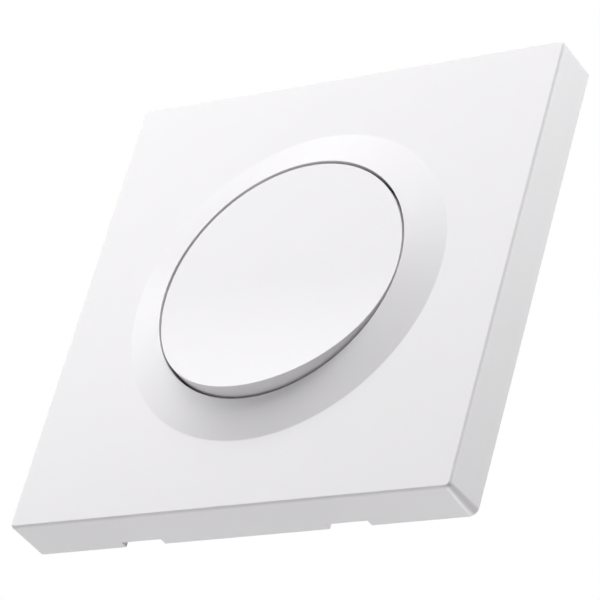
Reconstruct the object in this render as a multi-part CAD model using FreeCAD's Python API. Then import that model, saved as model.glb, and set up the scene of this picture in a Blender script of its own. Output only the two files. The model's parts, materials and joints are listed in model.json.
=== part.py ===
import FreeCAD, Part
import math
import os
from FreeCAD import Vector

os.makedirs("parts", exist_ok=True)

# One-gang two-way light switch for a round wall box.
# Millimetres. X points right and Z up as seen from the room, Y points into the wall.
# The origin is the middle of the plate on the wall plane, midway between the box screws.

# Cover plate and its collar
plate_size = 80.5
plate_depth = 8.0
plate_draft = 0.2
plate_wall = 2.0
plate_face_wall = 1.8
plate_corner_radius = 1.4
plate_edge_chamfer = 0.25
collar_foot_radius = 28.3
collar_height = 1.9
collar_wall = 1.6
collar_skirt_depth = 5.4
plate_rib_thickness = 1.0
plate_rib_height = 1.2
pry_notch_centres = (-19.15, 18.45)
pry_notch_width = 7.4
pry_notch_height = 1.3
clip_leg_x = 22.5
clip_leg_z = 13.0
clip_leg_thickness = 1.5
clip_leg_width = 6.0
clip_leg_root = 1.4
clip_hook_reach = 0.8
clip_hook_length = 2.1

# Rocker
rocker_radius = 21.5
rocker_wall = 1.4
rocker_face_wall = 1.6
rocker_sink = 0.15
rocker_travel = 7.0
pivot_under_face = 2.8
swing_clearance = 0.08
cradle_half_width = 9.4
cradle_half_height = 8.0
cradle_thickness = 2.2
cap_clip_x = 6.0
cap_clip_width = 4.0
cap_clip_thickness = 1.2
cap_clip_hook = 0.5
cap_rib_x = 15.0
cap_rib_thickness = 1.0
cap_rib_height = 1.3
trunnion_radius = 1.3
trunnion_clearance = 0.05
ear_thickness = 2.8
ear_wall = 0.45
ear_foot_half = 3.2
ear_side_gap = 0.3

# Strap
strap_margin = 2.75
strap_thickness = 1.2
strap_corner_radius = 6.0
strap_flange_length = 40.0
strap_flange_height = 1.8
box_screw_spacing = 60.0
box_slot_length = 7.5
box_slot_width = 4.0
window_half_width = 17.0
window_half_height = 14.8
fit_gap = 0.15

# Mechanism housing
housing_width = 39.0
housing_height = 42.0
housing_depth = 21.0
housing_wall = 1.5
housing_back_wall = 2.2
housing_edge_radius = 1.5
housing_back_chamfer = 0.8
cover_inset = 1.4
cover_thickness = 1.3
cover_screw_inset_x = 4.0
cover_screw_inset_z = 2.3
screw_radius = 1.2
screw_head_radius = 2.2
screw_head_height = 0.8
screw_length = 9.5
screw_slot_width = 0.6
screw_clearance = 0.03

# Plunger and its spring
barrel_radius = 3.0
barrel_length = 11.5
barrel_depth = 9.0
plunger_radius = 2.0
plunger_clearance = 0.06
plunger_tip_radius = 1.2
plunger_guide_length = 6.2
plunger_spring_bore = 1.4
plunger_crown = 0.6
spring_wire_radius = 0.18
spring_mean_radius = 1.1
spring_turns = 7
spring_steps = 10
spring_sides = 6

# Contact see-saw
contact_pivot_depth = 9.2
contact_tilt = 8.0
contact_half_width = 2.8
contact_half_length = 10.4
contact_thickness = 0.8
contact_groove_depth = 0.34
contact_edge_clearance = 0.04
knife_tip_radius = 0.2
contact_side_height = 1.5
contact_side_thickness = 0.5
contact_side_half = 4.5
contact_corner_radius = 1.0
tip_distance = 8.6
tip_radius = 1.5
tip_height = 0.6
tip_dome_radius = 4.0
contact_touch_gap = 0.05

# Terminals, clamp springs and release buttons
strip_thickness = 0.8
arm_half_height = 2.5
clamp_half_height = 4.4
clamp_room = 8.6
terminal_offset = 9.0
bridge_depth = 6.6
wire_hole_radius = 1.7
wire_hole_funnel = 0.5
wire_pitch = 4.8
knife_half_foot = 0.8
leaf_thickness = 0.4
leaf_half_height = 4.0
leaf_bend_radius = 1.4
leaf_tip_gap = 0.05
leaf_tip_depth = 9.6
leaf_bend_gap = 0.9
button_inset = 3.4
button_thickness = 1.6
button_half_height = 2.6
button_shoulder = 0.8
button_stroke = 1.1
button_left_out = 0.3
button_clearance = 0.1

# Places worked out from the sizes above
plate_half = plate_size / 2
front_y = -plate_depth
rim_y = front_y - collar_height
face_back_y = front_y + plate_face_wall
rocker_face_y = rim_y + rocker_sink
pivot_y = rocker_face_y + pivot_under_face
half_travel = rocker_travel / 2
strap_half = plate_half - plate_wall - strap_margin
rocker_rise = rocker_radius * math.tan(math.radians(rocker_travel))
rocker_lip_radius = rocker_radius - rocker_rise * math.tan(math.radians(half_travel))
rocker_arc_radius = (rocker_radius ** 2 + rocker_rise ** 2) / (2 * rocker_rise)
cover_height = housing_height - 2 * cover_inset
cover_screw_x = housing_width / 2 - cover_screw_inset_x
cover_screw_z = cover_height / 2 - cover_screw_inset_z
strap_front_y = -strap_thickness
cover_front_y = strap_front_y - cover_thickness
skirt_reach = cover_front_y - 2 * fit_gap - pivot_y
skirt_end = (skirt_reach - rocker_radius * math.sin(math.radians(half_travel))) / math.cos(
    math.radians(half_travel)
)
cradle_front_y = rocker_face_y + rocker_face_wall
cradle_back_y = cradle_front_y + cradle_thickness
ear_inner_x = cradle_half_width + 2 * ear_side_gap
ear_outer_x = ear_inner_x + ear_thickness
ear_hole_radius = trunnion_radius + trunnion_clearance
ear_tip_radius = ear_hole_radius + ear_wall
barrel_end_y = cradle_back_y + barrel_length - cradle_thickness / 2
barrel_floor_y = barrel_end_y - barrel_depth
housing_inner_x = housing_width / 2 - housing_wall
bus_outer_x = housing_inner_x - clamp_room
bus_inner_x = bus_outer_x - strip_thickness
back_wall_y = housing_depth - housing_back_wall
chamber_half_height = terminal_offset + clamp_half_height + fit_gap
groove_reach = (knife_tip_radius + contact_edge_clearance) * math.sqrt(2)
contact_back_y = contact_pivot_depth + contact_groove_depth - groove_reach
contact_front_y = contact_back_y - contact_thickness
plunger_tip_y = contact_front_y - contact_edge_clearance
plunger_hollow_y = barrel_floor_y + barrel_depth + plunger_crown
wire_x = bus_outer_x + wire_hole_radius
button_x = wire_x + button_inset - button_clearance

# The domed moving tip at its lowest point, with its side of the see-saw pressed home
tilt = math.radians(contact_tilt)
dome_offset = contact_back_y + tip_height - tip_dome_radius - contact_pivot_depth
touch_y = (
    contact_pivot_depth + dome_offset * math.cos(tilt) + tip_distance * math.sin(tilt) + tip_dome_radius
)
touch_z = tip_distance * math.cos(tilt) - dome_offset * math.sin(tilt)
fixed_tip_y = touch_y + contact_touch_gap
strip_front_y = fixed_tip_y + tip_height
strip_back_y = strip_front_y + strip_thickness

TERMINALS = {"common": (-1, 0.0), "upper": (1, terminal_offset), "lower": (1, -terminal_offset)}
X_AXIS = Vector(1, 0, 0)
Y_AXIS = Vector(0, 1, 0)


def swung_out(radius, arm):
    """Height that a corner of the rocker reaches when the rocker has turned its full travel."""
    travel = math.radians(rocker_travel)
    return radius * math.cos(travel) + arm * math.sin(travel)


# The collar just clears the rocker's proud lower lip and the back end of its upper skirt
widest_swing = max(
    swung_out(rocker_lip_radius, pivot_under_face + rocker_rise),
    swung_out(rocker_radius, skirt_reach),
)
collar_rim_radius = widest_swing + swing_clearance


def block(x, y, z):
    """A box from three (low, high) pairs."""
    corner = Vector(x[0], y[0], z[0])
    return Part.makeBox(x[1] - x[0], y[1] - y[0], z[1] - z[0], corner)


def rod(radius, x, z, y):
    """A cylinder along Y at x, z between two depths."""
    return Part.makeCylinder(radius, y[1] - y[0], Vector(x, y[0], z), Y_AXIS)


def cone(radius_front, radius_back, x, z, y):
    """A cone along Y at x, z between two depths."""
    return Part.makeCone(radius_front, radius_back, y[1] - y[0], Vector(x, y[0], z), Y_AXIS)


def pin(radius, x, y, z):
    """A cylinder along X."""
    return Part.makeCylinder(radius, x[1] - x[0], Vector(x[0], y, z), X_AXIS)


def revolved(points):
    """A solid turned about the Y axis from (radius, y) points."""
    outline = Part.makePolygon([Vector(r, y, 0) for r, y in points + points[:1]])
    return Part.Face(outline).revolve(Vector(0, 0, 0), Y_AXIS, 360)


def prism_along_x(points, x):
    """A solid with (y, z) corners, drawn out along X."""
    outline = Part.makePolygon([Vector(x[0], y, z) for y, z in points + points[:1]])
    return Part.Face(outline).extrude(Vector(x[1] - x[0], 0, 0))


def prism_along_z(points, z):
    """A solid with (x, y) corners, drawn out along Z."""
    outline = Part.makePolygon([Vector(x, y, z[0]) for x, y in points + points[:1]])
    return Part.Face(outline).extrude(Vector(0, 0, z[1] - z[0]))


def fused(shapes):
    """One solid from overlapping shapes, without the seams between them."""
    whole = shapes[0]
    for shape in shapes[1:]:
        whole = whole.fuse(shape)
    return whole.removeSplitter()


def cut(shape, tools):
    """The shape with each tool taken out of it."""
    for tool in tools:
        shape = shape.cut(tool)
    return shape


def rounded(shape, radius, keep):
    """Round the edges for which keep says yes."""
    edges = [edge for edge in shape.Edges if keep(edge)]
    return shape.makeFillet(radius, edges)


def chamfered(shape, size, keep):
    """Bevel the edges for which keep says yes."""
    edges = [edge for edge in shape.Edges if keep(edge)]
    return shape.makeChamfer(size, edges)


def runs_along_y(edge):
    ends = edge.Vertexes
    if len(ends) < 2:
        return False
    a, b = ends[0].Point, ends[1].Point
    return abs(a.x - b.x) < 1e-4 and abs(a.z - b.z) < 1e-4


def lies_at_depth(y):
    return lambda edge: abs(edge.BoundBox.YMin - y) < 1e-4 and abs(edge.BoundBox.YMax - y) < 1e-4


def rounded_block(x, y, z, radius):
    """A box whose four edges along Y are rounded."""
    return rounded(block(x, y, z), radius, runs_along_y)


def slot_along_x(x, z, length, width, y):
    """A round-ended slot through a sheet, lying along X."""
    reach = (length - width) / 2
    middle = block((x - reach, x + reach), y, (z - width / 2, z + width / 2))
    return middle.fuse(rod(width / 2, x - reach, z, y)).fuse(rod(width / 2, x + reach, z, y))


def quarter_turned(shape):
    """The shape turned a quarter about the Y axis."""
    turned = shape.copy()
    turned.rotate(Vector(0, 0, 0), Y_AXIS, 90)
    return turned


def with_mirror(shape, normal):
    """A shape and its mirror image across the middle plane with that normal."""
    return [shape, shape.mirror(Vector(0, 0, 0), normal)]


def four_corners(shape):
    """A shape in all four quarters of the face."""
    return [copy for side in with_mirror(shape, X_AXIS) for copy in with_mirror(side, Vector(0, 0, 1))]


def with_half_turn(shape):
    """A shape and its copy turned half a turn about the Y axis."""
    turned = shape.copy()
    turned.rotate(Vector(0, 0, 0), Y_AXIS, 180)
    return [shape, turned]


def at_terminal(shape, name):
    """Move a shape, drawn for the right side at mid height, to one of the three terminals."""
    side, height = TERMINALS[name]
    if side < 0:
        shape = shape.mirror(Vector(0, 0, 0), X_AXIS)
    placed = shape.copy()
    placed.translate(Vector(0, 0, height))
    return placed


def at_rest(shape):
    """Tilt a shape drawn in mid travel about the rocker's pivot to its rest position."""
    tilted = shape.copy()
    tilted.rotate(Vector(0, pivot_y, 0), X_AXIS, -half_travel)
    return tilted


# Cover plate: square shell, conical collar, aperture skirt, ribs, clips and pry notches

def plate_slab(half_front, half_back, y):
    """A square slab with slanting walls, whose round corners keep their centres."""
    centre = plate_half - plate_corner_radius
    arm = Part.makeWedge(
        -half_front, y[0], -centre, -centre, -half_back, half_front, y[1], centre, centre, half_back
    )
    corner = cone(half_front - centre, half_back - centre, centre, centre, y)
    return fused([arm, quarter_turned(arm)] + four_corners(corner))


def plate_blank():
    """The plate's outside: drafted walls, and a fine bevel round the face."""
    face = plate_half - plate_draft
    bevel_end = front_y + plate_edge_chamfer
    bevel = plate_slab(face - plate_edge_chamfer, face, (front_y, bevel_end))
    return fused([bevel, plate_slab(face, plate_half, (bevel_end, 0))])


def cover_plate():
    shell = plate_blank()
    collar = cone(collar_rim_radius, collar_foot_radius, 0, 0, (rim_y, front_y))
    inside = plate_half - plate_wall
    room = block((-inside, inside), (face_back_y, 1), (-inside, inside))
    slope = collar_height / (collar_foot_radius - collar_rim_radius)
    skirt_outer = collar_rim_radius + collar_wall
    under_y = face_back_y - slope * (collar_foot_radius - skirt_outer)
    hollow = cone(skirt_outer, collar_foot_radius, 0, 0, (under_y, face_back_y))
    body = shell.fuse(collar).cut(room).cut(hollow)
    skirt = rod(skirt_outer, 0, 0, (under_y - collar_wall / 2, rim_y + collar_skirt_depth))
    body = fused([body, skirt.common(shell.fuse(collar))] + plate_ribs(skirt_outer) + clip_legs())
    bore = rod(collar_rim_radius, 0, 0, (rim_y - 1, 1))
    return cut(body, [bore] + pry_notches())


def plate_ribs(inner_radius):
    """Stiffening ribs that run from the aperture skirt to the side walls."""
    wall = plate_half - plate_wall / 2
    depth = (face_back_y - plate_face_wall / 2, face_back_y + plate_rib_height)
    half = plate_rib_thickness / 2
    straight = block((inner_radius - collar_wall / 2, wall), depth, (-half, half))
    diagonal = block((inner_radius - collar_wall / 2, wall * math.sqrt(2)), depth, (-half, half))
    ribs = []
    for turn in range(4):
        for shape, offset in ((straight, 0), (diagonal, 45)):
            rib = shape.copy()
            rib.rotate(Vector(0, 0, 0), Y_AXIS, 90 * turn + offset)
            ribs.append(rib)
    return ribs


def clip_legs():
    """Four sprung legs whose hooks catch behind the strap."""
    outer = clip_leg_x + clip_leg_thickness
    catch = fit_gap / 3
    tip = catch + clip_hook_length
    span = (clip_leg_z - clip_leg_width / 2, clip_leg_z + clip_leg_width / 2)
    leg = block((clip_leg_x, outer), (face_back_y - clip_leg_root, tip), span)
    hook = prism_along_z(
        [
            (outer, catch),
            (outer + clip_hook_reach, catch),
            (outer + clip_hook_reach, catch + clip_hook_length / 4),
            (outer, tip),
        ],
        span,
    )
    return four_corners(leg.fuse(hook))


def pry_notches():
    """Two notches at the wall side of the lower edge, for levering the plate off."""
    half = pry_notch_width / 2
    bottom = (-plate_half - 1, -plate_half + plate_wall + fit_gap)
    return [block((c - half, c + half), (-pry_notch_height, 1), bottom) for c in pry_notch_centres]


# Strap: pressed steel frame that carries the mechanism on the wall box

def support_frame():
    span = (-strap_half, strap_half)
    plate = rounded_block(span, (strap_front_y, 0), span, strap_corner_radius)
    flange_half = strap_flange_length / 2
    flange = block(
        (strap_half - strap_thickness, strap_half),
        (strap_front_y - strap_flange_height, 0),
        (-flange_half, flange_half),
    )
    flanges = with_mirror(flange, X_AXIS)
    flanges += [quarter_turned(shape) for shape in flanges]
    plate = fused([plate] + flanges)
    through = (strap_front_y - 1, 1)
    window = rounded_block(
        (-window_half_width, window_half_width),
        through,
        (-window_half_height, window_half_height),
        housing_edge_radius,
    )
    slot = slot_along_x(box_screw_spacing / 2, 0, box_slot_length, box_slot_width, through)
    slots = with_mirror(slot, X_AXIS)
    slots += [quarter_turned(shape) for shape in slots]
    catch = block(
        (clip_leg_x - fit_gap, clip_leg_x + clip_leg_thickness + fit_gap),
        through,
        (clip_leg_z - clip_leg_width / 2 - fit_gap, clip_leg_z + clip_leg_width / 2 + fit_gap),
    )
    hole = rod(screw_radius + 2 * fit_gap, cover_screw_x, cover_screw_z, through)
    return cut(plate, [window] + slots + four_corners(catch) + with_half_turn(hole))


# Mechanism housing

def base_housing():
    half_x, half_z = housing_width / 2, housing_height / 2
    body = rounded_block((-half_x, half_x), (0, housing_depth), (-half_z, half_z), housing_edge_radius)
    body = chamfered(body, housing_back_chamfer, lies_at_depth(housing_depth))
    chamber = block(
        (-bus_inner_x + housing_wall / 2, bus_inner_x - housing_wall / 2),
        (-1, strip_back_y),
        (-chamber_half_height, chamber_half_height),
    )
    tools = [chamber] + core_pockets(half_z)
    for name in TERMINALS:
        tools += [at_terminal(shape, name) for shape in terminal_room()]
    pilot = rod(screw_radius + screw_clearance, cover_screw_x, cover_screw_z, (-1, screw_length))
    return cut(body, tools + with_half_turn(pilot))


def terminal_room():
    """Clamp chamber, strip channel, wire holes and button slot of one terminal."""
    clamp_top = clamp_half_height + fit_gap
    clamp = block((bus_inner_x, housing_inner_x), (-1, back_wall_y), (-clamp_top, clamp_top))
    arm_top = arm_half_height + fit_gap
    channel = block((bus_inner_x - housing_wall, bus_inner_x + 1), (-1, strip_back_y), (-arm_top, arm_top))
    tools = [clamp, channel]
    for height in (-wire_pitch / 2, wire_pitch / 2):
        tools.append(rod(wire_hole_radius, wire_x, height, (back_wall_y - 1, housing_depth + 1)))
        tools.append(
            cone(
                wire_hole_radius,
                wire_hole_radius + wire_hole_funnel,
                wire_x,
                height,
                (housing_depth - wire_hole_funnel, housing_depth),
            )
        )
    reach_x = button_thickness / 2 + button_clearance
    reach_z = button_half_height + button_clearance
    slot = block(
        (button_x - reach_x, button_x + reach_x),
        (back_wall_y - 1, housing_depth + 1),
        (-reach_z, reach_z),
    )
    return tools + [slot]


def core_pockets(half_z):
    """Pockets that keep the moulding's walls thin above and below the contact chamber."""
    low = chamber_half_height + housing_wall
    side = cover_screw_x - screw_head_radius - housing_wall
    ends = block((-housing_inner_x, side), (-1, back_wall_y), (low, half_z - housing_wall))
    spare = block(
        (-housing_inner_x, -bus_inner_x),
        (-1, back_wall_y),
        (clamp_half_height + fit_gap + housing_wall, cover_screw_z - screw_head_radius - housing_wall),
    )
    return with_half_turn(ends) + with_mirror(spare, Vector(0, 0, 1))


def housing_cover():
    half_x, half_z = housing_width / 2, cover_height / 2
    sheet = (cover_front_y, strap_front_y)
    plate = rounded_block((-half_x, half_x), sheet, (-half_z, half_z), housing_edge_radius)
    spigot = rounded_block(
        (-window_half_width + fit_gap, window_half_width - fit_gap),
        (strap_front_y, 0),
        (-window_half_height + fit_gap, window_half_height - fit_gap),
        housing_edge_radius,
    )
    ears = with_mirror(ear_blank(), X_AXIS)
    posts = [at_terminal(terminal_post(), name) for name in TERMINALS]
    body = fused([plate, spigot] + ears + posts)
    swing = (barrel_length + pivot_under_face) * math.sin(math.radians(half_travel))
    opening = block(
        (-barrel_radius - 2 * fit_gap, barrel_radius + 2 * fit_gap),
        (cover_front_y - 1, 1),
        (-barrel_radius - swing, barrel_radius + swing),
    )
    return cut(body, [opening] + with_half_turn(screw_seat()) + with_mirror(ear_bore(), X_AXIS))


def ear_blank():
    """One bearing ear, wide at its foot and round at its tip."""
    span = (ear_inner_x, ear_outer_x)
    web = prism_along_x(
        [
            (strap_front_y, -ear_foot_half),
            (cover_front_y, -ear_foot_half),
            (pivot_y, -ear_tip_radius),
            (pivot_y, ear_tip_radius),
            (cover_front_y, ear_foot_half),
            (strap_front_y, ear_foot_half),
        ],
        span,
    )
    return web.fuse(pin(ear_tip_radius, span, pivot_y, 0))


def ear_bore():
    """Bearing hole and the narrower snap slot that the trunnion is pressed in through."""
    span = (ear_inner_x - 1, ear_outer_x + 1)
    half = trunnion_radius * 0.8
    snap = block(span, (pivot_y - ear_tip_radius - 1, pivot_y), (-half, half))
    return pin(ear_hole_radius, span, pivot_y, 0).fuse(snap)


def terminal_post():
    """A post under the cover that holds a terminal's bridge down."""
    middle = (bus_outer_x + housing_inner_x) / 2
    half = housing_wall
    return block((middle - half, middle + half), (strap_front_y / 2, bridge_depth), (-half, half))


def screw_seat():
    """Counterbored hole in the cover for one assembly screw."""
    hole = rod(screw_radius + fit_gap, cover_screw_x, cover_screw_z, (cover_front_y - 1, 1))
    seat_radius = screw_head_radius + fit_gap
    seat_y = cover_front_y + screw_head_height
    seat = rod(seat_radius, cover_screw_x, cover_screw_z, (cover_front_y - 1, seat_y))
    return hole.fuse(seat)


def assembly_screws():
    neck_y = cover_front_y + screw_head_height
    head = rod(screw_head_radius, cover_screw_x, cover_screw_z, (cover_front_y, neck_y))
    shank = rod(screw_radius, cover_screw_x, cover_screw_z, (neck_y, cover_front_y + screw_length))
    half = screw_slot_width / 2
    drive = block(
        (cover_screw_x - screw_head_radius, cover_screw_x + screw_head_radius),
        (cover_front_y - 1, cover_front_y + screw_head_height / 2),
        (cover_screw_z - half, cover_screw_z + half),
    )
    screw = head.fuse(shank).removeSplitter().cut(drive)
    return Part.makeCompound(with_half_turn(screw))


# Rocker: cap, cradle, plunger and spring

def rocker_surface_y(z, inset=0.0):
    """Depth of the cap's face, or of a surface inset behind it, at height z."""
    if z >= 0:
        return rocker_face_y + inset
    radius = rocker_arc_radius + inset
    return rocker_face_y - rocker_arc_radius + math.sqrt(radius ** 2 - z ** 2)


def rocker_profile(inset, reach, back_y):
    """Everything behind the cap's face: flat above the pivot, hollowed out below it."""
    top = Vector(-reach, rocker_surface_y(reach, inset), reach)
    middle = Vector(-reach, rocker_surface_y(0, inset), 0)
    halfway = Vector(-reach, rocker_surface_y(-reach / 2, inset), -reach / 2)
    bottom = Vector(-reach, rocker_surface_y(-reach, inset), -reach)
    edges = [
        Part.LineSegment(top, middle).toShape(),
        Part.Arc(middle, halfway, bottom).toShape(),
        Part.LineSegment(bottom, Vector(-reach, back_y, -reach)).toShape(),
        Part.LineSegment(Vector(-reach, back_y, -reach), Vector(-reach, back_y, reach)).toShape(),
        Part.LineSegment(Vector(-reach, back_y, reach), top).toShape(),
    ]
    return Part.Face(Part.Wire(edges)).extrude(Vector(2 * reach, 0, 0))


def rocker_cap():
    depth = (rocker_face_y - 2 * rocker_rise, 0)
    reach = rocker_radius + 1
    leaning = cone(rocker_lip_radius, rocker_radius, 0, 0, (rocker_face_y - rocker_rise, rocker_face_y))
    barrel = leaning.fuse(rod(rocker_radius, 0, 0, (rocker_face_y, 0)))
    outer = barrel.common(rocker_profile(0, reach, 0))
    hollow = rod(rocker_radius - rocker_wall, 0, 0, depth)
    hollow = hollow.common(rocker_profile(rocker_face_wall, reach, 0))
    inner = [shape.common(outer) for shape in cap_ribs() + cap_clips()]
    cap = fused([outer.cut(hollow)] + inner)
    beyond = block((-reach, reach), (pivot_y + skirt_end, 2 * plate_depth), (-reach - 1, reach + 1))
    relief = pin(
        ear_tip_radius + 2 * fit_gap,
        (cradle_half_width, ear_outer_x + ear_side_gap),
        pivot_y,
        0,
    )
    return cut(cap, [at_rest(beyond)] + with_mirror(relief, X_AXIS))


def cap_ribs():
    """Two upright ribs that stiffen the cap's face."""
    half = cap_rib_thickness / 2
    reach = rocker_radius - 2 * rocker_wall
    tall = math.sqrt(reach ** 2 - cap_rib_x ** 2)
    depth = (rocker_face_y - 2 * rocker_rise, cradle_front_y + cap_rib_height)
    rib = block((cap_rib_x - half, cap_rib_x + half), depth, (-tall, tall))
    return with_mirror(rib, X_AXIS)


def cap_clips():
    """Four hooks that hold the cap on the cradle's upper and lower edges."""
    inner = cradle_half_height + fit_gap / 3
    outer = inner + cap_clip_thickness
    catch = cradle_back_y + fit_gap / 3
    tip = catch + 2 * cap_clip_hook
    span = (cap_clip_x - cap_clip_width / 2, cap_clip_x + cap_clip_width / 2)
    leg = block(span, (rocker_face_y - 2 * rocker_rise, tip), (inner, outer))
    hook = prism_along_x(
        [(catch, inner), (catch, inner - cap_clip_hook), (tip, inner)],
        span,
    )
    return four_corners(leg.fuse(hook))


def rocker_cradle():
    plate = rounded_block(
        (-cradle_half_width, cradle_half_width),
        (cradle_front_y, cradle_back_y),
        (-cradle_half_height, cradle_half_height),
        cap_clip_thickness,
    )
    trunnion = pin(trunnion_radius, (cradle_half_width, ear_outer_x), pivot_y, 0)
    web = block(
        (-cradle_half_width, cradle_half_width),
        (cradle_back_y - 1, cradle_back_y + cradle_thickness),
        (-ear_thickness / 4, ear_thickness / 4),
    )
    barrel = at_rest(rod(barrel_radius, 0, 0, (pivot_y, barrel_end_y)))
    body = fused([plate, web, barrel] + with_mirror(trunnion, X_AXIS))
    bore = rod(plunger_radius + plunger_clearance, 0, 0, (barrel_floor_y, barrel_end_y + 1))
    return body.cut(at_rest(bore))


def plunger():
    """Hollow pin with a round nose, drawn in mid travel and tilted to rest."""
    nose_y = plunger_tip_y - plunger_tip_radius
    shoulder_y = barrel_end_y + plunger_crown
    open_y = shoulder_y - plunger_guide_length
    stem_y = shoulder_y + plunger_radius - plunger_tip_radius
    body = revolved(
        [
            (0, plunger_hollow_y),
            (plunger_spring_bore, plunger_hollow_y),
            (plunger_spring_bore, open_y),
            (plunger_radius, open_y),
            (plunger_radius, shoulder_y),
            (plunger_tip_radius, stem_y),
            (plunger_tip_radius, nose_y),
            (0, nose_y),
        ]
    )
    nose = Part.makeSphere(plunger_tip_radius, Vector(0, nose_y, 0))
    return at_rest(body.fuse(nose).removeSplitter())


def plunger_spring():
    """Compression spring between the barrel's floor and the plunger's hollow."""
    start = barrel_floor_y + spring_wire_radius
    length = plunger_hollow_y - barrel_floor_y - 2 * spring_wire_radius
    steps = spring_steps * spring_turns

    def point(step):
        angle = 2 * math.pi * step / spring_steps
        y = start + length * step / steps
        return Vector(spring_mean_radius * math.cos(angle), y, spring_mean_radius * math.sin(angle))

    path = Part.makePolygon([point(step) for step in range(steps + 1)])
    heading = (point(1) - point(0)).normalize()
    across = X_AXIS.cross(heading).normalize() * spring_wire_radius
    corners = []
    for side in range(spring_sides + 1):
        turn = FreeCAD.Rotation(heading, 360 * side / spring_sides)
        corners.append(point(0) + turn.multVec(across))
    wire = path.makePipeShell([Part.makePolygon(corners)], True, False, 1)
    return at_rest(wire)


# Contact see-saw

def see_saw(shape):
    """Tilt a shape drawn level about the knife edge to where it rests."""
    tilted = shape.copy()
    tilted.rotate(Vector(0, contact_pivot_depth, 0), X_AXIS, contact_tilt)
    return tilted


def contact_rocker():
    span = (-contact_half_width, contact_half_width)
    plate = rounded_block(
        span,
        (contact_front_y, contact_back_y),
        (-contact_half_length, contact_half_length),
        contact_corner_radius,
    )
    side = block(
        (contact_half_width - contact_side_thickness, contact_half_width),
        (contact_front_y - contact_side_height, contact_back_y),
        (-contact_side_half, contact_side_half),
    )
    groove = prism_along_x(
        [
            (contact_back_y - contact_groove_depth, 0),
            (contact_back_y + contact_groove_depth, -2 * contact_groove_depth),
            (contact_back_y + contact_groove_depth, 2 * contact_groove_depth),
        ],
        (-contact_half_width - 1, contact_half_width + 1),
    )
    return see_saw(fused([plate] + with_mirror(side, X_AXIS)).cut(groove))


def moving_contact_tips():
    """Domed silver tips on the back of the see-saw."""
    disc = rod(tip_radius, 0, tip_distance, (contact_back_y, contact_back_y + tip_height))
    centre = Vector(0, contact_back_y + tip_height - tip_dome_radius, tip_distance)
    tip = disc.common(Part.makeSphere(tip_dome_radius, centre))
    return see_saw(Part.makeCompound(with_mirror(tip, Vector(0, 0, 1))))


def fixed_contact_tips():
    tip = rod(tip_radius, 0, touch_z, (fixed_tip_y, strip_front_y))
    return Part.makeCompound(with_mirror(tip, Vector(0, 0, 1)))


# Terminals

def terminal_clamp():
    """Bent brass strip beside the wires: bus wall and the bridge that stops the wire ends."""
    height = (-clamp_half_height, clamp_half_height)
    wall = block((bus_inner_x, bus_outer_x), (bridge_depth, back_wall_y), height)
    bridge = block((bus_inner_x, housing_inner_x), (bridge_depth, bridge_depth + strip_thickness), height)
    strip = fused([wall, bridge])

    def is_outer_bend(edge):
        box = edge.BoundBox
        return abs(box.XMax - bus_inner_x) < 1e-4 and abs(box.YMax - bridge_depth) < 1e-4

    return rounded(strip, strip_thickness, is_outer_bend)


def terminal_arm(start_x, height):
    """The strip that joins a terminal's bus wall to the contacts."""
    span = (height - arm_half_height, height + arm_half_height)
    return block((start_x, bus_outer_x), (strip_front_y, strip_back_y), span)


def common_terminal():
    clamp = at_terminal(terminal_clamp(), "common")
    arm = terminal_arm(-contact_half_width, 0).mirror(Vector(0, 0, 0), X_AXIS)
    span = (-contact_half_width, contact_half_width)
    knife = prism_along_x(
        [
            (contact_pivot_depth, -knife_tip_radius),
            (strip_back_y, -knife_half_foot),
            (strip_back_y, knife_half_foot),
            (contact_pivot_depth, knife_tip_radius),
        ],
        span,
    )
    tip = pin(knife_tip_radius, span, contact_pivot_depth, 0)
    return fused([clamp, arm, knife, tip])


def switched_terminal(name):
    side, height = TERMINALS[name]
    arm = terminal_arm(-contact_half_width, math.copysign(touch_z, height))
    return fused([at_terminal(terminal_clamp(), name), arm])


def leaf_geometry():
    """Bend centre, tangent point and tip of a clamp leaf's centre line, in the X-Y plane."""
    anchor_x = housing_inner_x - leaf_thickness / 2
    centre = Vector(anchor_x - leaf_bend_radius, back_wall_y - leaf_bend_gap - leaf_bend_radius, 0)
    tip = Vector(bus_outer_x + leaf_tip_gap + leaf_thickness / 2, leaf_tip_depth, 0)
    reach = tip - centre
    angle = math.atan2(reach.y, reach.x) + 2 * math.pi - math.acos(leaf_bend_radius / reach.Length)
    tangent = centre + Vector(math.cos(angle), math.sin(angle), 0) * leaf_bend_radius
    return anchor_x, centre, angle, tangent, tip


def clamp_leaf():
    """Leaf spring: a leg along the outer wall, a bend, and a slanting leg that bites the wire."""
    anchor_x, centre, angle, tangent, tip = leaf_geometry()
    foot = Vector(anchor_x, bridge_depth + strip_thickness, 0)
    bend_start = Vector(anchor_x, centre.y, 0)
    bend_middle = centre + Vector(math.cos(angle / 2), math.sin(angle / 2), 0) * leaf_bend_radius
    path = Part.Wire(
        [
            Part.LineSegment(foot, bend_start).toShape(),
            Part.Arc(bend_start, bend_middle, tangent).toShape(),
            Part.LineSegment(tangent, tip).toShape(),
        ]
    )
    half = leaf_thickness / 2
    section = Part.makePolygon(
        [
            foot + Vector(-half, 0, -leaf_half_height),
            foot + Vector(half, 0, -leaf_half_height),
            foot + Vector(half, 0, leaf_half_height),
            foot + Vector(-half, 0, leaf_half_height),
            foot + Vector(-half, 0, -leaf_half_height),
        ]
    )
    return path.makePipeShell([section], True, False)


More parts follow.
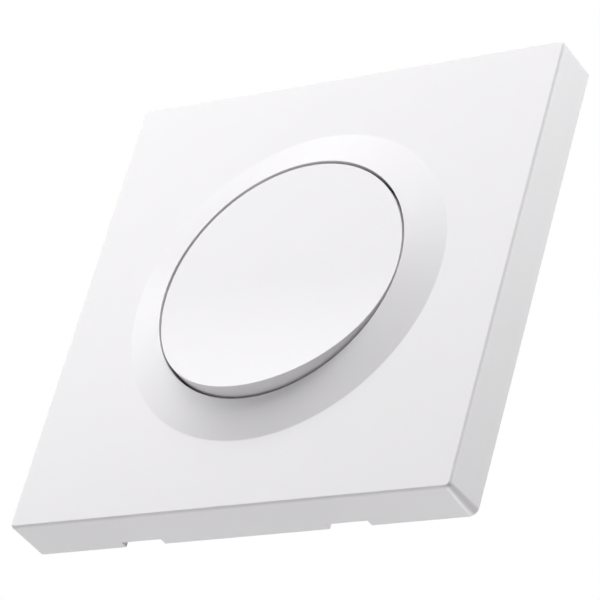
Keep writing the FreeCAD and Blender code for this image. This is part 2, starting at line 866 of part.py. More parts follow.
def release_button():
    """Flat button through the back wall, its nose cut to the slope of the clamp leaf."""
    anchor_x, centre, angle, tangent, tip = leaf_geometry()
    along = (tip - tangent).normalize()
    lift = (leaf_thickness / 2 + button_clearance) / abs(along.x)
    low_x, high_x = button_x - button_thickness / 2, button_x + button_thickness / 2

    def nose_y(x):
        return tangent.y + (x - tangent.x) * along.y / along.x + lift

    end_y = housing_depth + button_stroke + button_left_out
    shaft = prism_along_z(
        [(low_x, nose_y(low_x)), (high_x, nose_y(high_x)), (high_x, end_y), (low_x, end_y)],
        (-button_half_height, button_half_height),
    )
    shoulder_top = back_wall_y - fit_gap / 3
    shoulder_z = button_half_height + button_shoulder
    shoulder = block(
        (low_x, high_x),
        (shoulder_top - button_shoulder, shoulder_top),
        (-shoulder_z, shoulder_z),
    )
    return fused([shaft, shoulder])


PIECES = {
    "cover_plate": cover_plate,
    "support_frame": support_frame,
    "base_housing": base_housing,
    "housing_cover": housing_cover,
    "assembly_screws": assembly_screws,
    "rocker_cap": rocker_cap,
    "rocker_cradle": rocker_cradle,
    "plunger": plunger,
    "plunger_spring": plunger_spring,
    "contact_rocker": contact_rocker,
    "moving_contact_tips": moving_contact_tips,
    "fixed_contact_tips": fixed_contact_tips,
    "common_terminal": common_terminal,
    "upper_terminal": lambda: switched_terminal("upper"),
    "lower_terminal": lambda: switched_terminal("lower"),
}
for terminal in TERMINALS:
    PIECES["clamp_spring_" + terminal] = lambda name=terminal: at_terminal(clamp_leaf(), name)
    PIECES["release_button_" + terminal] = lambda name=terminal: at_terminal(release_button(), name)

for node, make in PIECES.items():
    make().exportStep("parts/" + node + ".step")
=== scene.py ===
# %% [markdown]
# A flush light switch, seen from below and from the right, as a catalogue shows it.
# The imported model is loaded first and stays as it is: it gives every solid its true place.
# What follows frames and lights it, and then dresses it, the white front most of all.

# %% The frame
import json
import math

import bmesh
import bpy
from mathutils import Matrix, Vector
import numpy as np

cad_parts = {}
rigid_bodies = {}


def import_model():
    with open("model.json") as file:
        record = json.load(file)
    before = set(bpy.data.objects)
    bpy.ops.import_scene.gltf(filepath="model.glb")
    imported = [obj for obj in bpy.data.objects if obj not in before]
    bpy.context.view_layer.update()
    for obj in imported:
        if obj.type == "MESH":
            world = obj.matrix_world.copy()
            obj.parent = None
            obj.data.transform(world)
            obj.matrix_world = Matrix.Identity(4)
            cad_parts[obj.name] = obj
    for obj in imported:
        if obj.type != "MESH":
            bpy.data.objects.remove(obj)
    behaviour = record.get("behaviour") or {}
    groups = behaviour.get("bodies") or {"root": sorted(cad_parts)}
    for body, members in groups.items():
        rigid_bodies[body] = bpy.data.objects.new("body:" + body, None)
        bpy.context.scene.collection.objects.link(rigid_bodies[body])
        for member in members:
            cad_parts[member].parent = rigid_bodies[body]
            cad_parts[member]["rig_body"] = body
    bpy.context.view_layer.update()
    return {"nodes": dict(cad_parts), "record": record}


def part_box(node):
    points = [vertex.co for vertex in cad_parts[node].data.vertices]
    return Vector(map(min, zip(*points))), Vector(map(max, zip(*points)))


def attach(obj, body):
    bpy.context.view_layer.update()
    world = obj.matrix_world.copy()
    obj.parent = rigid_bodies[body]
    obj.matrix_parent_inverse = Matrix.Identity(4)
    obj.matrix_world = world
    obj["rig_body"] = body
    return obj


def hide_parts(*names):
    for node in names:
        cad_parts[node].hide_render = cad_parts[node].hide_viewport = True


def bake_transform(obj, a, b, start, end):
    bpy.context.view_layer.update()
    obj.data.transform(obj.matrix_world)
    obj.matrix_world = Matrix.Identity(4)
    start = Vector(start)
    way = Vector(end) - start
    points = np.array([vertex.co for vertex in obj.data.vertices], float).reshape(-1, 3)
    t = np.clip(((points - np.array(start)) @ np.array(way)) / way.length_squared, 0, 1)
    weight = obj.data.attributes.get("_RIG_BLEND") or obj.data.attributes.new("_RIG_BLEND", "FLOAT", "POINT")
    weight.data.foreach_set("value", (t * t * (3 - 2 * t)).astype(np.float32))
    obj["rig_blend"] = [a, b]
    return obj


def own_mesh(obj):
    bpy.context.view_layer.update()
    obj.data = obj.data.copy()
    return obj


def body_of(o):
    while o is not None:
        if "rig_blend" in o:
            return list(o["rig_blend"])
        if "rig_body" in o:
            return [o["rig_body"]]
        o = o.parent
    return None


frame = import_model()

nodes = frame["nodes"]
MM = 0.001

# %% [markdown]
# The camera comes early, because every later choice is judged through it.
# The plate's edges in the photograph gave its place: low, to the right, and over half a metre
# away, so that the plate's right side and its underside show, with little perspective.
# A long lens fills the picture from there. The three directions below are the picture's
# right, its upward direction, and the way from the object back to the camera.

# %% Camera
LENS_MM = 223.07
SENSOR_MM = 36.0
CAMERA_PLACE = Vector((320.550, -376.883, -293.407)) * MM
PICTURE_RIGHT = Vector((0.821645, 0.516628, 0.240824))
PICTURE_UP = Vector((0.107749, -0.555654, 0.824402))
TOWARDS_CAMERA = Vector((0.559724, -0.651418, -0.512217))

bpy.ops.object.camera_add()
camera = bpy.context.object
camera.name = "camera"
camera.data.sensor_width = SENSOR_MM
camera.data.lens = LENS_MM
camera.data.clip_start = 0.02
camera.data.clip_end = 20.0
turn = Matrix((PICTURE_RIGHT, PICTURE_UP, TOWARDS_CAMERA)).transposed().to_4x4()
camera.matrix_world = Matrix.Translation(CAMERA_PLACE) @ turn
bpy.context.scene.camera = camera
print("camera is", round(camera.matrix_world.translation.length / MM), "mm from the switch")

# %% [markdown]
# The switch hangs in the air over a plain pale floor, well below it, so the floor never hides
# the underside. Seen from above, the floor is the backdrop, and it keeps a soft shadow.

# %% Floor
FLOOR_HEIGHT = -0.95
FLOOR_SIZE = 12.0


def select_only(*things):
    """Deselect everything, then select these, with the first one active."""
    bpy.ops.object.select_all(action="DESELECT")
    for thing in things:
        thing.select_set(True)
    bpy.context.view_layer.objects.active = things[0]


bpy.ops.object.select_all(action="DESELECT")
bpy.ops.mesh.primitive_plane_add(size=FLOOR_SIZE, location=(0, 0, FLOOR_HEIGHT))
floor = bpy.context.object
floor.name = "floor"
bpy.ops.object.transform_apply(location=True)
print("floor at", FLOOR_HEIGHT, "m")

# %% [markdown]
# The light is a studio's: the strongest soft lamp hangs high in front, with a nearer one at
# the upper left, and the white collar turns towards or away from them. Weaker lamps stand all
# round, so the right side, the underside and the back are lit as well. All are kept low, so
# that the white plastic keeps its shading.

# %% Lamps
# Name, direction from the switch, distance in m, size in m, power in W
LAMPS = (
    ("key_lamp", (-0.45, -0.62, 0.64), 0.55, 0.4, 1.28),
    ("high_front_lamp", (0.2, -0.62, 0.76), 0.75, 0.5, 2.92),
    ("front_lamp", (0.0, -1.0, 0.05), 0.8, 0.5, 0.45),
    ("left_lamp", (-0.9, -0.35, 0.2), 0.8, 0.6, 2.1),
    ("side_lamp", (0.72, 0.3, 0.62), 0.5, 0.35, 1.52),
    ("low_lamp", (-0.1, -0.05, -0.99), 0.8, 0.6, 1.38),
    ("low_back_lamp", (-0.05, 0.62, -0.78), 0.8, 0.5, 2.26),
    ("back_lamp", (0.1, 1.0, 0.15), 0.9, 0.9, 1.1),
)


def soft_lamp(name, direction, distance, size, power):
    """A square area lamp that looks at the switch from a direction."""
    bpy.ops.object.select_all(action="DESELECT")
    place = Vector(direction).normalized() * distance
    bpy.ops.object.light_add(type="AREA", location=place)
    lamp = bpy.context.object
    lamp.name = name
    lamp.data.shape = "SQUARE"
    lamp.data.size = size
    lamp.data.energy = power
    lamp.rotation_euler = (-place).to_track_quat("-Z", "Y").to_euler()


for lamp_values in LAMPS:
    soft_lamp(*lamp_values)

# %% [markdown]
# The world and the materials are built from a few kinds of nodes, over and over. Short
# functions add one node each and link it, so that the cells below read as what they mean.

# %% Node helpers
def new_group(name, inputs, outputs):
    """An empty shader group with number inputs and the named outputs."""
    group = bpy.data.node_groups.new(name, "ShaderNodeTree")
    for label, value in inputs.items():
        socket = group.interface.new_socket(label, in_out="INPUT", socket_type="NodeSocketFloat")
        socket.default_value = value
    for label in outputs:
        group.interface.new_socket(label, in_out="OUTPUT", socket_type="NodeSocketFloat")
    start = group.nodes.new("NodeGroupInput")
    end = group.nodes.new("NodeGroupOutput")
    return group, start, end


def add_noise(tree, coordinates, scale, detail, roughness=0.5):
    """A noise texture that reads the given coordinates."""
    noise = tree.nodes.new("ShaderNodeTexNoise")
    noise.inputs["Detail"].default_value = detail
    noise.inputs["Roughness"].default_value = roughness
    tree.links.new(scale, noise.inputs["Scale"])
    tree.links.new(coordinates, noise.inputs["Vector"])
    return noise.outputs["Fac"]


def add_range(tree, value, low, high, to_low, to_high):
    """Map a value from one range to another; the new ends may be numbers or sockets."""
    node = tree.nodes.new("ShaderNodeMapRange")
    tree.links.new(value, node.inputs["Value"])
    node.inputs["From Min"].default_value = low
    node.inputs["From Max"].default_value = high
    for socket, end in (("To Min", to_low), ("To Max", to_high)):
        if isinstance(end, float):
            node.inputs[socket].default_value = end
        else:
            tree.links.new(end, node.inputs[socket])
    return node.outputs["Result"]


def add_math(tree, operation, first, second):
    """A math node that joins two values."""
    node = tree.nodes.new("ShaderNodeMath")
    node.operation = operation
    tree.links.new(first, node.inputs[0])
    tree.links.new(second, node.inputs[1])
    return node.outputs[0]


def principled(name):
    """A new material with only its Principled BSDF and output."""
    material = bpy.data.materials.new(name)
    material.use_nodes = True
    shader = material.node_tree.nodes["Principled BSDF"]
    return material, material.node_tree, shader


def place_group(tree, group, values):
    """Put a node group into a material, with its own values."""
    node = tree.nodes.new("ShaderNodeGroup")
    node.node_tree = group
    for label, value in values.items():
        node.inputs[label].default_value = value
    return node


def add_bump(tree, height, shader, distance, strength):
    """Turn a height into the shader's normal; the distance is its depth in metres."""
    bump = tree.nodes.new("ShaderNodeBump")
    bump.inputs["Distance"].default_value = distance
    bump.inputs["Strength"].default_value = strength
    tree.links.new(height, bump.inputs["Height"])
    tree.links.new(bump.outputs["Normal"], shader.inputs["Normal"])


def add_tones(tree, factor, shader, first, second):
    """Base colour between two tones."""
    mix = tree.nodes.new("ShaderNodeMix")
    mix.data_type = "RGBA"
    mix.inputs["A"].default_value = (*first, 1.0)
    mix.inputs["B"].default_value = (*second, 1.0)
    tree.links.new(factor, mix.inputs["Factor"])
    tree.links.new(mix.outputs["Result"], shader.inputs["Base Color"])


print("node helpers ready")

# %% [markdown]
# The world is white for the camera, and for what gloss and glass show, as white paper round
# the set would be. Everything else gets a grey world, so the switch is lit at a plain level.

# %% World
AMBIENT = 0.15
WHITE = (1.0, 1.0, 1.0, 1.0)

world = bpy.data.worlds.new("studio")
bpy.context.scene.world = world
world.use_nodes = True
world_tree = world.node_tree
world_tree.nodes.clear()
path = world_tree.nodes.new("ShaderNodeLightPath").outputs
seen = add_math(world_tree, "MAXIMUM", path["Is Camera Ray"], path["Is Glossy Ray"])
seen = add_math(world_tree, "MAXIMUM", seen, path["Is Transmission Ray"])
background = world_tree.nodes.new("ShaderNodeBackground")
background.inputs["Color"].default_value = WHITE
level = add_range(world_tree, seen, 0.0, 1.0, AMBIENT, 1.0)
world_tree.links.new(level, background.inputs["Strength"])
world_output = world_tree.nodes.new("ShaderNodeOutputWorld")
world_tree.links.new(background.outputs[0], world_output.inputs["Surface"])
bpy.context.scene.view_settings.view_transform = "Standard"
print("ambient level", AMBIENT)

# %% [markdown]
# Moulded plastic is never quite even. Its gloss drifts slowly over the face, and a very fine
# orange peel from the mould catches the light. Both could be painted, but noise in two sizes
# costs nothing and fits every piece. They sit in one node group, since the white front, the
# inner parts, the grey housing and the buttons all need them, each with its own amounts.

# %% Group: moulded skin
skin, skin_in, skin_out = new_group(
    "moulded_skin",
    {"Peel Scale": 2500.0, "Drift Scale": 45.0, "Smoothest": 0.25, "Roughest": 0.35},
    ("Roughness", "Height", "Tone"),
)
skin_place = skin.nodes.new("ShaderNodeTexCoord").outputs["Object"]
drift = add_noise(skin, skin_place, skin_in.outputs["Drift Scale"], 3.0)
peel = add_noise(skin, skin_place, skin_in.outputs["Peel Scale"], 2.0)
skin_gloss = add_range(
    skin, drift, 0.3, 0.7, skin_in.outputs["Smoothest"], skin_in.outputs["Roughest"]
)
skin_tone = add_range(skin, drift, 0.35, 0.65, 0.0, 1.0)
skin.links.new(skin_gloss, skin_out.inputs["Roughness"])
skin.links.new(peel, skin_out.inputs["Height"])
skin.links.new(skin_tone, skin_out.inputs["Tone"])
print("group", skin.name, "ready")

# %% [markdown]
# Sheet metal keeps the fine straight grain of the rolls. Noise that is stretched some eighty
# times along one direction gives it. A second, cloudy noise stands for plating or tarnish that
# is thicker here and thinner there. The strap, springs, brass and contacts share this group.

# %% Group: rolled metal
GRAIN_STRETCH = (1.0, 1.0, 0.012)

metal, metal_in, metal_out = new_group(
    "rolled_metal",
    {"Grain Scale": 3000.0, "Cloud Scale": 120.0, "Smoothest": 0.25, "Roughest": 0.45},
    ("Roughness", "Height", "Cloud"),
)
metal_place = metal.nodes.new("ShaderNodeTexCoord").outputs["Object"]
stretch = metal.nodes.new("ShaderNodeMapping")
stretch.inputs["Scale"].default_value = GRAIN_STRETCH
metal.links.new(metal_place, stretch.inputs["Vector"])
grain = add_noise(metal, stretch.outputs["Vector"], metal_in.outputs["Grain Scale"], 4.0)
cloud = add_noise(metal, metal_place, metal_in.outputs["Cloud Scale"], 5.0, 0.6)
metal_gloss = add_range(
    metal, grain, 0.35, 0.65, metal_in.outputs["Smoothest"], metal_in.outputs["Roughest"]
)
metal_cloud = add_range(metal, cloud, 0.35, 0.65, 0.0, 1.0)
metal.links.new(metal_gloss, metal_out.inputs["Roughness"])
metal.links.new(grain, metal_out.inputs["Height"])
metal.links.new(metal_cloud, metal_out.inputs["Cloud"])
print("group", metal.name, "ready")

# %% [markdown]
# A plastic material mixes two close tones of its colour by the slow drift, takes its roughness
# from the same group, and turns the fine peel into a bump a few hundredths of a millimetre
# deep. The front is the smoothest of them and has the finest peel.

# %% Plastic materials
PEEL_STRENGTH = 0.5
PLASTIC_IOR = 1.5


def plastic(name, first, second, smoothest, roughest, peel_depth, peel_scale):
    """A moulded plastic between two tones; the peel's depth is in mm."""
    material, tree, shader = principled(name)
    group = place_group(
        tree, skin, {"Smoothest": smoothest, "Roughest": roughest, "Peel Scale": peel_scale}
    )
    tree.links.new(group.outputs["Roughness"], shader.inputs["Roughness"])
    add_tones(tree, group.outputs["Tone"], shader, first, second)
    add_bump(tree, group.outputs["Height"], shader, peel_depth * MM, PEEL_STRENGTH)
    shader.inputs["IOR"].default_value = PLASTIC_IOR
    return material


front_white = plastic(
    "front_white_plastic", (0.814, 0.80, 0.816), (0.829, 0.815, 0.831), 0.30, 0.36, 0.02, 2500.0
)
inner_white = plastic(
    "inner_white_plastic", (0.66, 0.66, 0.645), (0.69, 0.69, 0.675), 0.45, 0.58, 0.05, 1400.0
)
housing_grey = plastic(
    "grey_housing_plastic", (0.15, 0.155, 0.165), (0.175, 0.18, 0.19), 0.42, 0.6, 0.06, 1600.0
)
button_orange = plastic(
    "orange_button_plastic", (0.72, 0.15, 0.02), (0.78, 0.18, 0.03), 0.38, 0.5, 0.04, 1800.0
)
print("plastics:", front_white.name, inner_white.name, housing_grey.name, button_orange.name)

# %% [markdown]
# Each metal is the same group with other colours: zinc with a bluish cloud, tempered steel
# darker, brass with a browner tarnish, and the contacts' silver alloy nearly white.

# %% Metal materials
GRAIN_STRENGTH = 0.4


def sheet_metal(name, first, second, smoothest, roughest, grain_depth):
    """A rolled metal between two tones; the grain's depth is in mm."""
    material, tree, shader = principled(name)
    group = place_group(tree, metal, {"Smoothest": smoothest, "Roughest": roughest})
    tree.links.new(group.outputs["Roughness"], shader.inputs["Roughness"])
    add_tones(tree, group.outputs["Cloud"], shader, first, second)
    add_bump(tree, group.outputs["Height"], shader, grain_depth * MM, GRAIN_STRENGTH)
    shader.inputs["Metallic"].default_value = 1.0
    return material


zinc_steel = sheet_metal(
    "zinc_plated_steel", (0.56, 0.58, 0.61), (0.66, 0.66, 0.66), 0.28, 0.45, 0.03
)
spring_steel = sheet_metal(
    "tempered_spring_steel", (0.36, 0.36, 0.38), (0.44, 0.44, 0.46), 0.25, 0.38, 0.02
)
brass = sheet_metal("terminal_brass", (0.70, 0.50, 0.22), (0.60, 0.40, 0.16), 0.25, 0.42, 0.02)
silver_alloy = sheet_metal(
    "contact_silver", (0.80, 0.79, 0.76), (0.72, 0.71, 0.69), 0.18, 0.3, 0.01
)
print("metals:", zinc_steel.name, spring_steel.name, brass.name, silver_alloy.name)

# %% [markdown]
# The lamps look at the switch, so the floor far below it stays dim and would seem a dark grey
# from above. A studio would light it with lamps of its own. Here it glows a little, but only
# for the camera, so none of that light falls on the switch. The glow grows towards the
# horizon, where the floor melts into the white behind it.

# %% Floor material
GLOW_NEAR, GLOW_FAR = 1.0, 5.0
GLOW_LOW, GLOW_HIGH = 0.36, 0.84

floor_white, floor_tree, floor_shader = principled("pale_floor")
floor_values = {"Smoothest": 0.55, "Roughest": 0.7, "Peel Scale": 60.0, "Drift Scale": 3.0}
floor_group = place_group(floor_tree, skin, floor_values)
floor_tree.links.new(floor_group.outputs["Roughness"], floor_shader.inputs["Roughness"])
add_tones(
    floor_tree, floor_group.outputs["Tone"], floor_shader, (0.84, 0.84, 0.84), (0.87, 0.87, 0.87)
)
floor_place = floor_tree.nodes.new("ShaderNodeTexCoord")
from_middle = floor_tree.nodes.new("ShaderNodeVectorMath")
from_middle.operation = "LENGTH"
floor_tree.links.new(floor_place.outputs["Object"], from_middle.inputs[0])
glow = add_range(
    floor_tree, from_middle.outputs["Value"], GLOW_NEAR, GLOW_FAR, GLOW_LOW, GLOW_HIGH
)
floor_path = floor_tree.nodes.new("ShaderNodeLightPath")
for_camera = add_math(floor_tree, "MULTIPLY", glow, floor_path.outputs["Is Camera Ray"])
floor_shader.inputs["Emission Color"].default_value = WHITE
floor_tree.links.new(for_camera, floor_shader.inputs["Emission Strength"])
floor.data.materials.append(floor_white)
print("floor material", floor_white.name)

# %% [markdown]
# The plate and the rocker are the face of the switch. Their CAD meshes have the right shape, but
# as loose triangles with hard edges. A copy is joined into a skin, its flat faces are cleaned of
# the lines inside them, and the edges that a finger would feel get a small real rounding.
# That could be done on every edge at once, but only some are round on a moulding, so the edges
# are picked by their place and given a bevel weight.

# %% Shape helpers
MERGE_DISTANCE = 0.002 * MM
FLAT_ANGLE = math.radians(0.2)


def joined_copy(node, name):
    """A piece of its own from a CAD node, its triangles merged and its flat faces cleaned."""
    piece = bpy.data.objects.new(name, nodes[node].data.copy())
    bpy.context.scene.collection.objects.link(piece)
    select_only(piece)
    bpy.ops.object.mode_set(mode="EDIT")
    bpy.ops.mesh.select_all(action="SELECT")
    bpy.ops.mesh.remove_doubles(threshold=MERGE_DISTANCE)
    bpy.ops.mesh.dissolve_limited(angle_limit=FLAT_ANGLE)
    bpy.ops.mesh.select_all(action="DESELECT")
    bpy.ops.object.mode_set(mode="OBJECT")
    if piece.data.has_custom_normals:
        bpy.ops.mesh.customdata_custom_splitnormals_clear()
    piece.data.materials.clear()
    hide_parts(node)
    return piece


def shift_points(piece, keep, scale, shift, centre):
    """Scale the vertices for which keep says yes about a centre, then shift them; all in mm."""
    select_only(piece)
    bpy.context.tool_settings.mesh_select_mode = (True, False, False)
    for vertex in piece.data.vertices:
        vertex.select = keep(vertex.co / MM)
    bpy.ops.object.mode_set(mode="EDIT")
    bpy.ops.transform.resize(value=scale, center_override=Vector(centre) * MM)
    bpy.ops.transform.translate(value=Vector(shift) * MM)
    bpy.ops.mesh.select_all(action="DESELECT")
    bpy.ops.object.mode_set(mode="OBJECT")


def weigh_edges(piece, keep, weight):
    """Give a bevel weight to the edges for which keep says yes, from their two ends in mm."""
    select_only(piece)
    mesh = piece.data
    for edge in mesh.edges:
        ends = [mesh.vertices[i].co / MM for i in edge.vertices]
        edge.select = keep(ends[0], ends[1])
    picked = sum(edge.select for edge in mesh.edges)
    bpy.ops.object.mode_set(mode="EDIT")
    bpy.ops.mesh.select_mode(type="EDGE")
    bpy.ops.transform.edge_bevelweight(value=weight)
    bpy.ops.mesh.select_all(action="DESELECT")
    bpy.ops.object.mode_set(mode="OBJECT")
    return picked


def weigh_corners(piece, sharpest):
    """Weight every outward edge where the faces turn by more than this many degrees."""
    select_only(piece)
    bpy.context.tool_settings.mesh_select_mode = (False, True, False)
    bpy.ops.object.mode_set(mode="EDIT")
    bpy.ops.mesh.edges_select_sharp(sharpness=math.radians(sharpest))
    shape = bmesh.from_edit_mesh(piece.data)
    for edge in shape.edges:
        if edge.select and not edge.is_convex:
            edge.select_set(False)
    picked = sum(edge.select for edge in shape.edges)
    bmesh.update_edit_mesh(piece.data)
    bpy.ops.transform.edge_bevelweight(value=1.0)
    bpy.ops.mesh.select_all(action="DESELECT")
    bpy.ops.object.mode_set(mode="OBJECT")
    return picked


def soften(piece, width, segments, smooth_angle):
    """Round the weighted edges, then shade the piece smooth up to an angle."""
    select_only(piece)
    bevel = piece.modifiers.new("rounding", "BEVEL")
    bevel.limit_method = "WEIGHT"
    bevel.width = width
    bevel.segments = segments
    bevel.use_clamp_overlap = False
    bpy.ops.object.modifier_apply(modifier=bevel.name)
    bpy.ops.object.shade_smooth_by_angle(angle=math.radians(smooth_angle))
    flow = piece.modifiers.new("flow", "WEIGHTED_NORMAL")
    flow.keep_sharp = True
    bpy.ops.object.modifier_apply(modifier=flow.name)


print("shape helpers ready")

# %% [markdown]
# The photograph shows the plate's outer edge a little wider and softer than the plain bevel of
# the CAD mesh, and its four corners tighter at the face than at the wall. So the outline is
# gone through from the face to the wall, one depth after the other. At each depth it is first
# widened by up to a tenth of a millimetre. Then each corner arc is scaled about the sharp corner
# that it rounds, which changes its radius and leaves both sides where they are.

# %% Plate outline
# All in mm: a depth is a place along Y, and a half is half the plate's width at one depth.
# The bands say how far in from the outline a vertex still belongs to it.
FACE_DEPTH = -8.0
BEVEL_DEPTH, NEW_BEVEL_DEPTH = -7.75, -7.61
FACE_HALF, NEW_FACE_HALF = 39.80, 39.90
BEVEL_HALF, NEW_BEVEL_HALF = 40.05, 40.15
FACE_RADIUS, BEVEL_RADIUS, WALL_RADIUS = 0.75, 0.95, 1.4
CORNER_CENTRE = 38.85
OUTLINE_BAND = 1.25
OUTERMOST_BAND = 0.6
NEAR = 0.02

plate_piece = joined_copy("cover_plate", "front_plate")
wall_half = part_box("cover_plate")[1].x / MM


def between(depth, at_bevel, at_wall):
    """A length that grows evenly from the bevel's outer loop to the wall."""
    return at_bevel + (at_wall - at_bevel) * (1.0 - depth / BEVEL_DEPTH)


def reshape_outline(depth, half, new_half, new_radius, new_depth):
    """Widen the outline at one depth, then give its corners their new radius."""
    def on_outline(p):
        return abs(p.y - depth) < NEAR and max(abs(p.x), abs(p.z)) > half - OUTLINE_BAND

    factor = new_half / half
    widen = (factor, 1.0, factor)
    shift_points(plate_piece, on_outline, widen, (0.0, new_depth - depth, 0.0), (0.0, depth, 0.0))
    old_radius = (half - CORNER_CENTRE) * factor
    growth = new_radius / old_radius
    for side, end in ((-1.0, -1.0), (-1.0, 1.0), (1.0, -1.0), (1.0, 1.0)):
        def in_corner(p):
            from_x = side * p.x - new_half + old_radius
            from_z = end * p.z - new_half + old_radius
            on_arc = math.hypot(from_x, from_z) > old_radius - 0.05
            return abs(p.y - new_depth) < NEAR and min(from_x, from_z) > -NEAR and on_arc

        sharp_corner = (side * new_half, new_depth, end * new_half)
        shift_points(plate_piece, in_corner, (growth, 1.0, growth), (0.0, 0.0, 0.0), sharp_corner)


outline_depths = sorted({
    round(v.co.y / MM, 2) for v in plate_piece.data.vertices
    if max(abs(v.co.x), abs(v.co.z)) / MM > wall_half - OUTERMOST_BAND
})
for depth in outline_depths:
    if depth < BEVEL_DEPTH - 0.1:
        reshape_outline(depth, FACE_HALF, NEW_FACE_HALF, FACE_RADIUS, depth)
    else:
        reshape_outline(
            depth,
            between(depth, BEVEL_HALF, wall_half),
            between(depth, NEW_BEVEL_HALF, wall_half),
            between(depth, BEVEL_RADIUS, WALL_RADIUS),
            NEW_BEVEL_DEPTH if depth < BEVEL_DEPTH + 0.1 else depth,
        )
print("outline reshaped at depths", outline_depths)

# %% [markdown]
# Three sets of the plate's edges are round: the foot of the collar, where the photograph shows
# a soft turn, the bevel round the front, and the rim that the rocker sits in.

# %% Cover plate
# In mm: the foot's radius, how far in and how far back the front edge reaches, how far the
# rim stands before the face, and how level an edge has to be
COLLAR_FOOT = 28.3
FRONT_BAND = 2.6
FRONT_REACH = 0.5
RIM_RISE = 1.7
LEVEL = 0.001


def at_collar_foot(a, b):
    """Both ends lie on the circle where the collar rises from the face."""
    return all(
        abs(p.y - FACE_DEPTH) < NEAR and abs(math.hypot(p.x, p.z) - COLLAR_FOOT) < 0.1
        for p in (a, b)
    )


def around_front_edge(a, b):
    """An edge of the bevel that runs round the front of the plate."""
    near_side = all(max(abs(p.x), abs(p.z)) > wall_half - FRONT_BAND for p in (a, b))
    return near_side and abs(a.y - b.y) < LEVEL and a.y < FACE_DEPTH + FRONT_REACH


def at_collar_rim(a, b):
    """The collar's rim, round the rocker's opening."""
    return all(p.y < FACE_DEPTH - RIM_RISE for p in (a, b)) and abs(a.y - b.y) < LEVEL


print("collar foot edges:", weigh_edges(plate_piece, at_collar_foot, 1.0))
print("front edges:", weigh_edges(plate_piece, around_front_edge, 0.9))
print("rim edges:", weigh_edges(plate_piece, at_collar_rim, 0.9))
soften(plate_piece, 0.16 * MM, 3, 24.0)
plate_piece.data.materials.append(front_white)
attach(plate_piece, "mechanism")
print("plate faces:", len(plate_piece.data.polygons))

# %% [markdown]
# The rocker's rim is crisper than the plate's edges, so its rounding is a third as wide. It
# runs round the flat upper half and round the lip below. Just under the middle the lip grows
# out of the rim through facets that are thinner than the rounding, so that stretch is left.

# %% Rocker cap
# In mm: what lies outside this radius and in front of this depth is rim, and what lies below
# the lip's top and in front of its depth is lip
CAP_RIM_RADIUS = 21.0
CAP_RIM_DEPTH = -9.74
LIP_TOP = -4.0
LIP_DEPTH = -9.8
LONGEST_RIM_EDGE = 3.0

cap_piece = joined_copy("rocker_cap", "rocker_front")


def around_cap_lip(a, b):
    """The rim of the rocker's face, above its pivot and well below it."""
    on_rim = all(math.hypot(p.x, p.z) > CAP_RIM_RADIUS and p.y < CAP_RIM_DEPTH for p in (a, b))
    along_rim = (a - b).length < LONGEST_RIM_EDGE
    flat_half = all(p.z > -0.01 for p in (a, b))
    curved_half = all(p.z < LIP_TOP and p.y < LIP_DEPTH for p in (a, b))
    return on_rim and along_rim and (flat_half or curved_half)


print("cap edges:", weigh_edges(cap_piece, around_cap_lip, 1.0))
soften(cap_piece, 0.05 * MM, 2, 24.0)
cap_piece.data.materials.append(front_white)
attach(cap_piece, "rocker")
print("cap faces:", len(cap_piece.data.polygons))

# %% [markdown]
# Behind the plate nothing has a razor edge either: a moulding leaves its tool with small radii,
# and punched sheet has its edges rolled over. Each piece gets a joined copy of its own, and
# every outward corner on it that turns sharply is rounded by a few hundredths of a millimetre.
# Inward corners stay sharp, so no piece grows into its neighbour.

# %% Rounded pieces behind the plate
CORNER_ANGLE = 35.0
SMOOTH_ANGLE = 30.0
FINISHES = {
    "zinc_steel": zinc_steel,
    "housing_grey": housing_grey,
    "white_inner": inner_white,
    "brass": brass,
    "silver_alloy": silver_alloy,
    "button_orange": button_orange,
}
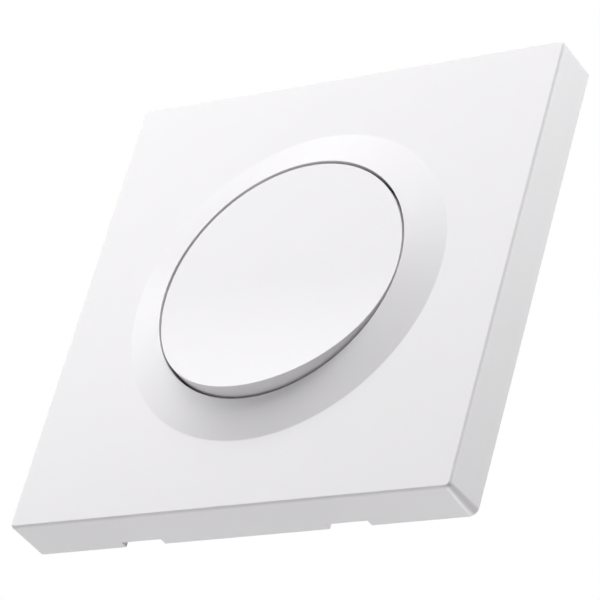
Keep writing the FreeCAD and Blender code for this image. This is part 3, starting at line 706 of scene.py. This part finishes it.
# Width of each piece's rounding in mm
ROUNDINGS = {
    "support_frame": 0.08,
    "assembly_screws": 0.06,
    "base_housing": 0.07,
    "housing_cover": 0.08,
    "rocker_cradle": 0.08,
    "plunger": 0.05,
    "contact_rocker": 0.05,
    "moving_contact_tips": 0.03,
    "fixed_contact_tips": 0.03,
    "common_terminal": 0.06,
    "upper_terminal": 0.06,
    "lower_terminal": 0.06,
    "release_button_common": 0.1,
    "release_button_upper": 0.1,
    "release_button_lower": 0.1,
}
node_slots = {part["node"]: part["material_slot"] for part in frame["record"]["subparts"]}
for node, rounding in ROUNDINGS.items():
    piece = joined_copy(node, node + "_rounded")
    corners = weigh_corners(piece, CORNER_ANGLE)
    soften(piece, rounding * MM, 2, SMOOTH_ANGLE)
    piece.data.materials.append(FINISHES[node_slots[node]])
    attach(piece, body_of(nodes[node])[0])
    print(node, "corners:", corners, "faces:", len(piece.data.polygons))

# %% [markdown]
# Springs don't travel with one body, they give way. A leaf spring is held by its long leg at
# the wall of the housing, and its slanting leg is pushed in by the release button, so the copy
# bends between those two bodies.

# %% Leaf springs
LEAF_THICKNESS = 0.4 * MM
LEAF_ROUNDING = 0.04 * MM

for terminal in ("common", "upper", "lower"):
    node = "clamp_spring_" + terminal
    leaf = joined_copy(node, node + "_bending")
    corners = weigh_corners(leaf, CORNER_ANGLE)
    soften(leaf, LEAF_ROUNDING, 2, SMOOTH_ANGLE)
    leaf.data.materials.append(spring_steel)
    low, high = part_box(node)
    side = 1.0 if low[0] > 0 else -1.0
    leg_inside = max(side * low[0], side * high[0]) - LEAF_THICKNESS
    low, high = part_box("release_button_" + terminal)
    button_outside = max(side * low[0], side * high[0])
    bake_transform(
        leaf,
        "mechanism",
        "release_" + terminal,
        start=(side * leg_inside, 0.0, 0.0),
        end=(side * button_outside, 0.0, 0.0),
    )
    print(leaf.name, "corners:", corners, "faces:", len(leaf.data.polygons))

# %% [markdown]
# The coil spring stands on the floor of the barrel and gets shorter as the plunger slides in.
# Its copy rides on the rocker. Its wire has six sides, so it is shaded smooth across their corners.

# %% Coil spring
WIRE_SMOOTH_ANGLE = 65.0

coil = joined_copy("plunger_spring", "plunger_spring_shortening")
select_only(coil)
bpy.ops.object.shade_smooth_by_angle(angle=math.radians(WIRE_SMOOTH_ANGLE))
coil.data.materials.append(spring_steel)
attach(coil, "rocker")
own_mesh(coil)
